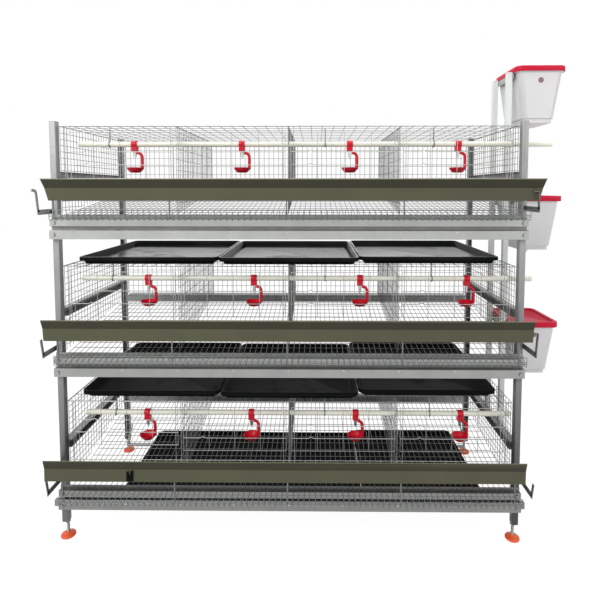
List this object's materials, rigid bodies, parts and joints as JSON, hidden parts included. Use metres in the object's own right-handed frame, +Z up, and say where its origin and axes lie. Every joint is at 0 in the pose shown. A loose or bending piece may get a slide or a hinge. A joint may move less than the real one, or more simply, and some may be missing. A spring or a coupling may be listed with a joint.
{
  "type": "battery cage",
  "caption": "Tiered wire cage for laying hens with sloped floors, feed troughs, drinker lines, manure trays and header tanks on one end.",
  "frame": {"origin": "middle of the footprint, on the floor", "axes": "+Z up, troughs face -Y, header tanks on +X"},
  "size_m": [2.354, 0.8895, 2.1713],
  "materials": {
    "galvanised_post": "galvanised",
    "galvanised_steel": "galvanised",
    "galvanised_wire": "galvanised wire",
    "trough_plastic": "matte",
    "pipe_plastic": "smooth",
    "red_plastic": "moulded",
    "valve_steel": "turned",
    "white_paint": "painted",
    "tank_plastic": "translucent",
    "lid_plastic": "moulded",
    "tray_plastic": "matte",
    "foot_plastic": "moulded"
  },
  "bodies": {
    "cage": {"post_front_left": "galvanised_post", "post_front_right": "galvanised_post", "post_rear_left": "galvanised_post", "post_rear_right": "galvanised_post", "front_beams": "galvanised_steel", "rear_beams": "galvanised_steel", "end_ties": "galvanised_steel", "tray_rails": "galvanised_steel", "beam_bolts": "galvanised_steel", "floor_nets": "galvanised_wire", "roof_nets": "galvanised_wire", "rear_nets": "galvanised_wire", "end_nets": "galvanised_wire", "partition_nets": "galvanised_wire", "front_grilles": "galvanised_wire", "feed_trough_1": "trough_plastic", "feed_trough_2": "trough_plastic", "feed_trough_3": "trough_plastic", "trough_brackets": "galvanised_steel", "trough_stays": "galvanised_wire", "water_pipe_1": "pipe_plastic", "water_pipe_2": "pipe_plastic", "water_pipe_3": "pipe_plastic", "pipe_hooks": "galvanised_wire", "drinker_saddles": "red_plastic", "nipple_valves": "valve_steel", "drinker_cups": "red_plastic", "tank_posts": "white_paint", "tank_hangers": "galvanised_steel", "water_tank_1": "tank_plastic", "water_tank_2": "tank_plastic", "water_tank_3": "tank_plastic"},
    "door_1_1": {"door_1_1": "galvanised_wire"},
    "door_1_2": {"door_1_2": "galvanised_wire"},
    "door_1_3": {"door_1_3": "galvanised_wire"},
    "door_1_4": {"door_1_4": "galvanised_wire"},
    "door_2_1": {"door_2_1": "galvanised_wire"},
    "door_2_2": {"door_2_2": "galvanised_wire"},
    "door_2_3": {"door_2_3": "galvanised_wire"},
    "door_2_4": {"door_2_4": "galvanised_wire"},
    "door_3_1": {"door_3_1": "galvanised_wire"},
    "door_3_2": {"door_3_2": "galvanised_wire"},
    "door_3_3": {"door_3_3": "galvanised_wire"},
    "door_3_4": {"door_3_4": "galvanised_wire"},
    "manure_tray_1_1": {"manure_tray_1_1": "tray_plastic"},
    "manure_tray_1_2": {"manure_tray_1_2": "tray_plastic"},
    "manure_tray_1_3": {"manure_tray_1_3": "tray_plastic"},
    "manure_tray_2_1": {"manure_tray_2_1": "tray_plastic"},
    "manure_tray_2_2": {"manure_tray_2_2": "tray_plastic"},
    "manure_tray_2_3": {"manure_tray_2_3": "tray_plastic"},
    "manure_tray_3_1": {"manure_tray_3_1": "tray_plastic"},
    "manure_tray_3_2": {"manure_tray_3_2": "tray_plastic"},
    "manure_tray_3_3": {"manure_tray_3_3": "tray_plastic"},
    "tank_lid_1": {"tank_lid_1": "lid_plastic"},
    "tank_lid_2": {"tank_lid_2": "lid_plastic"},
    "tank_lid_3": {"tank_lid_3": "lid_plastic"},
    "foot_front_left": {"foot_front_left": "foot_plastic"},
    "foot_front_right": {"foot_front_right": "foot_plastic"},
    "foot_rear_left": {"foot_rear_left": "foot_plastic"},
    "foot_rear_right": {"foot_rear_right": "foot_plastic"}
  },
  "joints": [
    {"name": "door_1_1_lift", "type": "slide", "parent": "cage", "child": "door_1_1", "axis": [0, 0, 1], "range_m": [-0.025, 0.207]},
    {"name": "door_1_2_lift", "type": "slide", "parent": "cage", "child": "door_1_2", "axis": [0, 0, 1], "range_m": [0, 0.232]},
    {"name": "door_1_3_lift", "type": "slide", "parent": "cage", "child": "door_1_3", "axis": [0, 0, 1], "range_m": [0, 0.232]},
    {"name": "door_1_4_lift", "type": "slide", "parent": "cage", "child": "door_1_4", "axis": [0, 0, 1], "range_m": [0, 0.232]},
    {"name": "door_2_1_lift", "type": "slide", "parent": "cage", "child": "door_2_1", "axis": [0, 0, 1], "range_m": [0, 0.232]},
    {"name": "door_2_2_lift", "type": "slide", "parent": "cage", "child": "door_2_2", "axis": [0, 0, 1], "range_m": [0, 0.232]},
    {"name": "door_2_3_lift", "type": "slide", "parent": "cage", "child": "door_2_3", "axis": [0, 0, 1], "range_m": [0, 0.232]},
    {"name": "door_2_4_lift", "type": "slide", "parent": "cage", "child": "door_2_4", "axis": [0, 0, 1], "range_m": [0, 0.232]},
    {"name": "door_3_1_lift", "type": "slide", "parent": "cage", "child": "door_3_1", "axis": [0, 0, 1], "range_m": [0, 0.232]},
    {"name": "door_3_2_lift", "type": "slide", "parent": "cage", "child": "door_3_2", "axis": [0, 0, 1], "range_m": [0, 0.232]},
    {"name": "door_3_3_lift", "type": "slide", "parent": "cage", "child": "door_3_3", "axis": [0, 0, 1], "range_m": [0, 0.232]},
    {"name": "door_3_4_lift", "type": "slide", "parent": "cage", "child": "door_3_4", "axis": [0, 0, 1], "range_m": [0, 0.232]},
    {"name": "manure_tray_1_1_pull", "type": "slide", "parent": "cage", "child": "manure_tray_1_1", "axis": [0, 1, 0], "range_m": [0, 0.45]},
    {"name": "manure_tray_1_2_pull", "type": "slide", "parent": "cage", "child": "manure_tray_1_2", "axis": [0, 1, 0], "range_m": [0, 0.45]},
    {"name": "manure_tray_1_3_pull", "type": "slide", "parent": "cage", "child": "manure_tray_1_3", "axis": [0, 1, 0], "range_m": [0, 0.45]},
    {"name": "manure_tray_2_1_pull", "type": "slide", "parent": "cage", "child": "manure_tray_2_1", "axis": [0, 1, 0], "range_m": [0, 0.45]},
    {"name": "manure_tray_2_2_pull", "type": "slide", "parent": "cage", "child": "manure_tray_2_2", "axis": [0, 1, 0], "range_m": [0, 0.45]},
    {"name": "manure_tray_2_3_pull", "type": "slide", "parent": "cage", "child": "manure_tray_2_3", "axis": [0, 1, 0], "range_m": [0, 0.45]},
    {"name": "manure_tray_3_1_pull", "type": "slide", "parent": "cage", "child": "manure_tray_3_1", "axis": [0, 1, 0], "range_m": [0, 0.45]},
    {"name": "manure_tray_3_2_pull", "type": "slide", "parent": "cage", "child": "manure_tray_3_2", "axis": [0, 1, 0], "range_m": [0, 0.45]},
    {"name": "manure_tray_3_3_pull", "type": "slide", "parent": "cage", "child": "manure_tray_3_3", "axis": [0, 1, 0], "range_m": [0, 0.45]},
    {"name": "tank_lid_1_lift", "type": "slide", "parent": "cage", "child": "tank_lid_1", "axis": [0, 0, 1], "range_m": [0, 0.12]},
    {"name": "tank_lid_2_lift", "type": "slide", "parent": "cage", "child": "tank_lid_2", "axis": [0, 0, 1], "range_m": [0, 0.12]},
    {"name": "tank_lid_3_lift", "type": "slide", "parent": "cage", "child": "tank_lid_3", "axis": [0, 0, 1], "range_m": [0, 0.12]},
    {"name": "foot_front_left_screw", "type": "hinge", "parent": "cage", "child": "foot_front_left", "pos_m": [-1.143, -0.29225, 0], "axis": [0, 0, 1], "continuous": true},
    {"name": "foot_front_right_screw", "type": "hinge", "parent": "cage", "child": "foot_front_right", "pos_m": [0.893, -0.29225, 0], "axis": [0, 0, 1], "continuous": true},
    {"name": "foot_rear_left_screw", "type": "hinge", "parent": "cage", "child": "foot_rear_left", "pos_m": [-1.143, 0.41275, 0], "axis": [0, 0, 1], "continuous": true},
    {"name": "foot_rear_right_screw", "type": "hinge", "parent": "cage", "child": "foot_rear_right", "pos_m": [0.893, 0.41275, 0], "axis": [0, 0, 1], "continuous": true}
  ]
}
